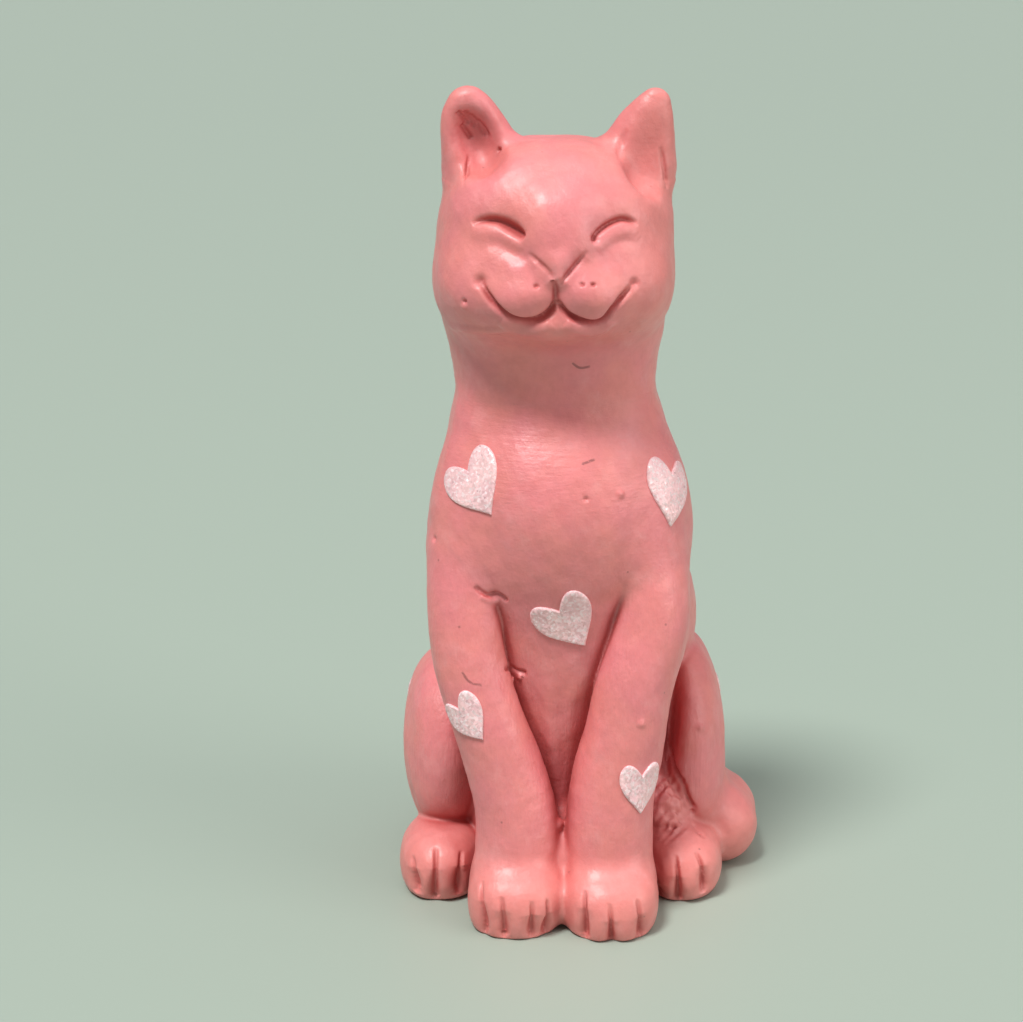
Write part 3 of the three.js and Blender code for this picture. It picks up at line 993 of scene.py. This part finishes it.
def pink_material():
    """Satin pink clay: patchy, a little grimy and brushed in places, with painted shade making its hollows
    redder and a painted warm reflection on the cheek and feet.
    """
    nodes = Nodes("pink_clay")
    plain = nodes.place(1, 1, 1)
    x, _, z = nodes.add("SeparateXYZ", {0: plain}).outputs

    patches = nodes.noise(nodes.place(0.17, 0.17, 0.17), detail=3)
    warmth_and_reflection = nodes.ranged(patches, 0.3, 0.7, 0.05, 0.5)
    # painted warm reflection: salmon on the cat's left cheek and on the feet near the floor; the noise
    # patches above are the clay's own tone
    reflected_warmth_face = nodes.math("MULTIPLY", nodes.ranged(x, -2, 8, 0.0, 0.5), nodes.ranged(z, 58, 68))
    reflected_warmth_feet = nodes.ranged(z, 14, 4, 0.0, 0.6)
    for more in (reflected_warmth_face, reflected_warmth_feet):
        warmth_and_reflection = nodes.math("MAXIMUM", warmth_and_reflection, more)
    base = nodes.mix(warmth_and_reflection, ROSE, SALMON)

    mottle = nodes.noise(nodes.place(0.5, 0.5, 0.5), detail=7, roughness=0.7)
    base = nodes.mix(nodes.ranged(mottle, 0.3, 0.65, 0.2, 0.0), base, GRIME)
    pale = nodes.noise(nodes.place(0.3, 0.3, 0.3), detail=6, roughness=0.65)
    base = nodes.mix(nodes.ranged(pale, 0.5, 0.75, 0.0, 0.35), base, WORN_PINK)
    cells = nodes.add("TexVoronoi", {"Vector": nodes.place(0.45, 0.45, 0.45), "Scale": 1.0}).outputs
    speck = nodes.ranged(cells["Distance"], 0.09, 0.03)
    rare = nodes.ranged(nodes.add("SeparateColor", {0: cells["Color"]}).outputs[0], 0.8, 0.82)
    base = nodes.mix(nodes.math("MULTIPLY", nodes.math("MULTIPLY", speck, rare), 0.45), base, FIBRE_BROWN)

    # painted shade: slits, folds, ear cups and gaps between limbs turn deep red and a little rougher
    hollow = nodes.attribute("hollow")
    base = nodes.mix(nodes.math("MULTIPLY", nodes.math("POWER", hollow, 1.4), 0.75), base, PAINTED_SHADE_RED)
    base = nodes.mix(nodes.ranged(nodes.attribute("fibre"), 0.25, 0.9, 0.0, 0.65), base, FIBRE_BROWN)
    nodes.shade(Base_Color=base)

    polish = nodes.noise(nodes.place(0.35, 0.35, 0.35), detail=4)
    roughness = nodes.ranged(polish, 0.3, 0.7, 0.34, 0.5)
    nodes.shade(Roughness=nodes.math("ADD", roughness, nodes.math("MULTIPLY", hollow, 0.2)))
    nodes.shade(Subsurface_Weight=0.1, Subsurface_Radius=(1.0, 0.35, 0.3), Subsurface_Scale=1.5 * MM)
    nodes.shade(Coat_Weight=0.12, Coat_Roughness=0.28)

    grain = nodes.noise(nodes.place(2.2, 2.2, 2.2), detail=5, roughness=0.6)
    across = nodes.noise(nodes.place(0.5, 0.5, 2.4), detail=4, roughness=0.6)
    upward = nodes.noise(nodes.place(3.2, 3.2, 0.3), detail=3)
    neck = nodes.math("MULTIPLY", nodes.ranged(z, 44, 48), nodes.ranged(z, 62, 56))
    legs = nodes.math("MULTIPLY", nodes.ranged(z, 42, 34), nodes.ranged(z, 6, 12))
    height = nodes.math("MULTIPLY", grain, 0.6)
    height = nodes.math("ADD", height, nodes.math("MULTIPLY", across, nodes.math("MULTIPLY", neck, 0.7)))
    height = nodes.math("ADD", height, nodes.math("MULTIPLY", upward, nodes.math("MULTIPLY", legs, 0.8)))
    bump = nodes.add("Bump", {"Strength": 0.8, "Distance": 0.12 * MM, "Height": height})
    nodes.shade(Normal=bump.outputs["Normal"])
    return nodes.material


def glitter_material():
    """White glitter glue: fine flakes that all lie a little differently."""
    nodes = Nodes("glitter_glue")
    cells = nodes.add("TexVoronoi", {"Vector": nodes.place(4.2, 4.2, 4.2), "Scale": 1.0}).outputs
    flake = nodes.add("SeparateColor", {0: cells["Color"]}).outputs
    cloud = nodes.noise(nodes.place(0.5, 0.5, 0.5), detail=3)
    base = nodes.mix(nodes.ranged(cloud, 0.35, 0.65), GLUE_PINK, GLUE_ROSE)
    base = nodes.mix(nodes.ranged(flake[0], 0.5, 1.0, 0.0, 0.6), base, BRIGHT_FLAKE)
    base = nodes.mix(nodes.ranged(flake[1], 0.0, 0.2, 0.08, 0.0), base, DARK_FLAKE)
    nodes.shade(Base_Color=base)
    nodes.shade(Metallic=nodes.ranged(flake[2], 0.94, 0.96, 0.0, 0.4))
    nodes.shade(Roughness=nodes.ranged(flake[1], 0.0, 1.0, 0.22, 0.5), Coat_Weight=0.3, Coat_Roughness=0.15)
    tilt = nodes.add("VectorMath", {0: cells["Color"], 1: (0.5, 0.5, 0.5)}, operation="SUBTRACT").outputs[0]
    tilt = nodes.add("VectorMath", {0: tilt, "Scale": 0.4}, operation="SCALE").outputs[0]
    surface = nodes.add("NewGeometry", {}).outputs["Normal"]
    facing = nodes.add("VectorMath", {0: surface, 1: tilt}, operation="ADD").outputs[0]
    nodes.shade(Normal=nodes.add("VectorMath", {0: facing}, operation="NORMALIZE").outputs[0])
    return nodes.material


# ---------------------------------------------------------------- building the cat
def finish_piece(obj, name, material):
    obj.data.materials.append(material)
    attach(obj, "root")
    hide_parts(name)


pink = pink_material()
glitter = glitter_material()
for name, (places, faces, normals, shades) in mesh_pieces().items():
    finish_piece(add_mesh(f"{name}_skin", places, faces, normals, shades), name, pink)
for name, shape in HEARTS.items():
    finish_piece(add_mesh(f"{name}_bead", *heart_mesh(*shape)), name, glitter)


# ---------------------------------------------------------------- stage, lights and camera
def add_floor():
    mesh = bpy.data.meshes.new("floor")
    size = 12.0
    corners = [(-size, -size, 0), (size, -size, 0), (size, size, 0), (-size, size, 0)]
    mesh.from_pydata(corners, [], [(0, 1, 2, 3)])
    floor = bpy.data.objects.new("floor", mesh)
    bpy.context.scene.collection.objects.link(floor)
    material = bpy.data.materials.new("floor")
    material.use_nodes = True
    shader = material.node_tree.nodes["Principled BSDF"]
    shader.inputs["Base Color"].default_value = FLOOR_GREEN
    shader.inputs["Roughness"].default_value = 0.5
    mesh.materials.append(material)


def add_sun(name, direction, softness, strength, tint=(1, 1, 1)):
    """direction points from the cat to the light, and softness is its apparent size in degrees."""
    light = bpy.data.lights.new(name, "SUN")
    light.angle = math.radians(softness)
    light.energy = strength
    light.color = tint
    obj = bpy.data.objects.new(name, light)
    obj.rotation_euler = Vector(direction).to_track_quat("Z", "Y").to_euler()
    bpy.context.scene.collection.objects.link(obj)


CAMERA_PLACE = np.array([-5.0, -216.7, 102.3])  # in the cat's own frame
CAMERA_DROP = 0.2745  # how far it looks down for each unit forwards


def add_camera():
    camera = bpy.data.cameras.new("camera")
    camera.lens = 70.4
    camera.sensor_width = 36
    obj = bpy.data.objects.new("camera", camera)
    obj.location = (CAMERA_PLACE + CAT_TO_FRAME) * MM
    obj.rotation_euler = (math.radians(90) - math.atan(CAMERA_DROP), 0, 0)
    camera.clip_start = 0.01
    bpy.context.scene.collection.objects.link(obj)
    bpy.context.scene.camera = obj


add_floor()
add_sun("key", (-0.33, -0.37, 1.0), 16, 2.95, (1.0, 0.97, 0.95))
add_sun("top", (0.2, -0.1, 1.0), 60, 0.8)
add_sun("fill", (1.0, -0.5, 0.5), 40, 1.0, (1.0, 0.93, 0.88))
world = bpy.data.worlds.new("studio")
world.use_nodes = True
world.node_tree.nodes["Background"].inputs["Color"].default_value = STUDIO_WHITE
world.node_tree.nodes["Background"].inputs["Strength"].default_value = 0.24
bpy.context.scene.world = world
bpy.context.scene.view_settings.view_transform = "Standard"
add_camera()
